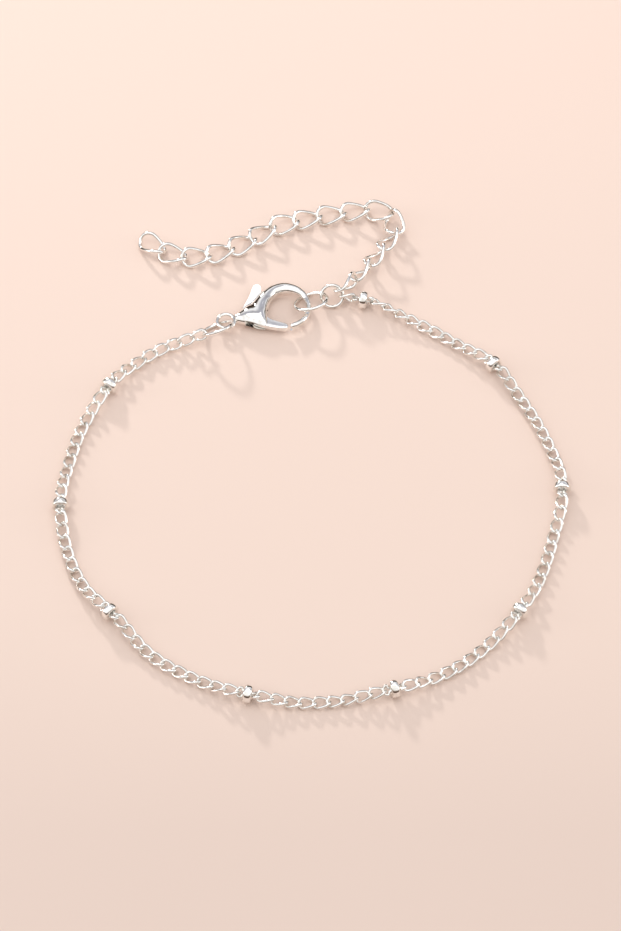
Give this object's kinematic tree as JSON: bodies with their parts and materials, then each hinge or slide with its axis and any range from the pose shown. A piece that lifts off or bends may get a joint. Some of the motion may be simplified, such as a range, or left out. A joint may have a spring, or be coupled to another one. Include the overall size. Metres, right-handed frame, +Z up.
{
  "type": "chain bracelet",
  "caption": "Fine curb chain bracelet with small disc beads, a sprung lobster clasp and an extender chain, laid open in its loop.",
  "frame": {"origin": "on the surface that the bracelet lies on, under the middle of its box", "axes": "+Y from the loop's far side of beads towards the clasp and extender, the longest extent; +X to the right seen from the picture's side; +Z up, the shortest extent"},
  "size_m": [0.0573, 0.0695, 0.0028],
  "materials": {
    "chain_silver": "polished silver plate",
    "bead_silver": "polished silver plate",
    "ring_silver": "polished silver plate",
    "clasp_silver": "polished silver plate",
    "extender_silver": "polished silver plate"
  },
  "bodies": {
    "bracelet": {"bead_1": "bead_silver", "bead_2": "bead_silver", "bead_3": "bead_silver", "bead_4": "bead_silver", "bead_5": "bead_silver", "bead_6": "bead_silver", "bead_7": "bead_silver", "bead_8": "bead_silver", "bead_9": "bead_silver", "chain_left": "chain_silver", "chain_right": "chain_silver", "clasp_body": "clasp_silver", "end_ring": "ring_silver", "extender_link_1": "extender_silver", "extender_link_10": "extender_silver", "extender_link_11": "extender_silver", "extender_link_12": "extender_silver", "extender_link_13": "extender_silver", "extender_link_14": "extender_silver", "extender_link_15": "extender_silver", "extender_link_16": "extender_silver", "extender_link_2": "extender_silver", "extender_link_3": "extender_silver", "extender_link_4": "extender_silver", "extender_link_5": "extender_silver", "extender_link_6": "extender_silver", "extender_link_7": "extender_silver", "extender_link_8": "extender_silver", "extender_link_9": "extender_silver", "hook_ring": "ring_silver", "join_ring": "ring_silver"},
    "lever": {"clasp_lever": "clasp_silver"}
  },
  "joints": [
    {"name": "lever_hinge", "type": "hinge", "parent": "bracelet", "child": "lever", "pos_m": [-0.00605, 0.01737, 0.0009], "axis": [0, 0, 1], "range_deg": [0, 26], "stiffness_Nm_per_rad": 0.002}
  ]
}
